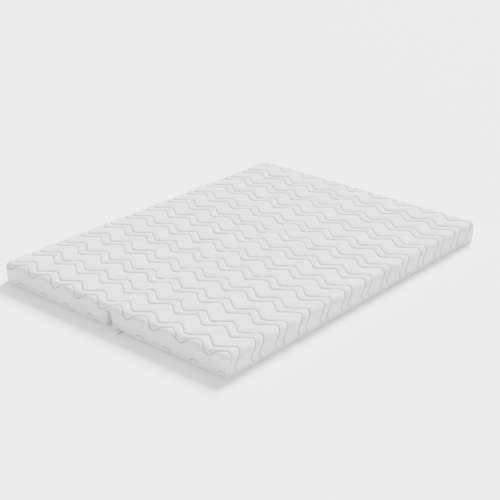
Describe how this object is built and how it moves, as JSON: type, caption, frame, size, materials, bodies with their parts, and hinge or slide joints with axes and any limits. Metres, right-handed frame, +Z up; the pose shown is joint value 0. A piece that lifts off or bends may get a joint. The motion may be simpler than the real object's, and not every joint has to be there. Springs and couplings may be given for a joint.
{
  "type": "futon mattress",
  "caption": "Fold-up foam mattress with a wave-quilted knit cover, a fabric fold across its middle, and a zip round the bottom of each panel.",
  "frame": {"origin": "on the floor under the middle of the mattress as it lies flat", "axes": "+X along the mattress's length, the fold's direction; +Y from the seat panel to the back panel; +Z up, out of the lying face"},
  "size_m": [1.9684, 1.4, 0.1],
  "materials": {
    "quilted_knit": "matte",
    "plain_knit": "matte",
    "wadding": "matte",
    "non_woven": "matte",
    "foam": "matte",
    "zip_tape": "matte",
    "zip_coil": "satin",
    "zip_metal": "satin"
  },
  "bodies": {
    "seat": {"seat_foam_core": "foam", "seat_backing_scrim": "non_woven", "seat_wadding": "wadding", "seat_quilted_cover": "quilted_knit", "seat_inner_wall": "plain_knit", "seat_base_panel": "plain_knit", "seat_zip_tape_upper": "zip_tape", "seat_zip_tape_lower": "zip_tape", "seat_zip_coil_upper": "zip_coil", "seat_zip_coil_lower": "zip_coil", "seat_zip_stop_closed": "zip_metal", "seat_zip_stop_open": "zip_metal"},
    "seat_slider": {"seat_zip_slider": "zip_metal"},
    "seat_pull": {"seat_zip_pull": "zip_metal"},
    "back": {"back_foam_core": "foam", "back_backing_scrim": "non_woven", "back_wadding": "wadding", "back_quilted_cover": "quilted_knit", "back_inner_wall": "plain_knit", "back_base_panel": "plain_knit", "back_zip_tape_upper": "zip_tape", "back_zip_tape_lower": "zip_tape", "back_zip_coil_upper": "zip_coil", "back_zip_coil_lower": "zip_coil", "back_zip_stop_closed": "zip_metal", "back_zip_stop_open": "zip_metal"},
    "back_slider": {"back_zip_slider": "zip_metal"},
    "back_pull": {"back_zip_pull": "zip_metal"},
    "fold_strip": {"fold_face": "quilted_knit", "fold_wadding": "wadding", "fold_backing": "non_woven"}
  },
  "joints": [
    {"name": "fold_front", "type": "hinge", "parent": "seat", "child": "fold_strip", "pos_m": [0, -0.012, 0.1], "axis": [1, 0, 0], "range_deg": [0, 90]},
    {"name": "fold_rear", "type": "hinge", "parent": "fold_strip", "child": "back", "pos_m": [0, 0.012, 0.1], "axis": [1, 0, 0], "range_deg": [0, 90]},
    {"name": "seat_zip_slide", "type": "slide", "parent": "seat", "child": "seat_slider", "axis": [0, -1, 0], "range_m": [0, 0.56]},
    {"name": "seat_pull_swing", "type": "hinge", "parent": "seat_slider", "child": "seat_pull", "pos_m": [-0.9542, -0.095, 0.0075], "axis": [0, 0, 1], "range_deg": [-85, 85]},
    {"name": "back_zip_slide", "type": "slide", "parent": "back", "child": "back_slider", "axis": [0, 1, 0], "range_m": [0, 0.56]},
    {"name": "back_pull_swing", "type": "hinge", "parent": "back_slider", "child": "back_pull", "pos_m": [0.9542, 0.095, 0.0075], "axis": [0, 0, 1], "range_deg": [-85, 85]}
  ]
}
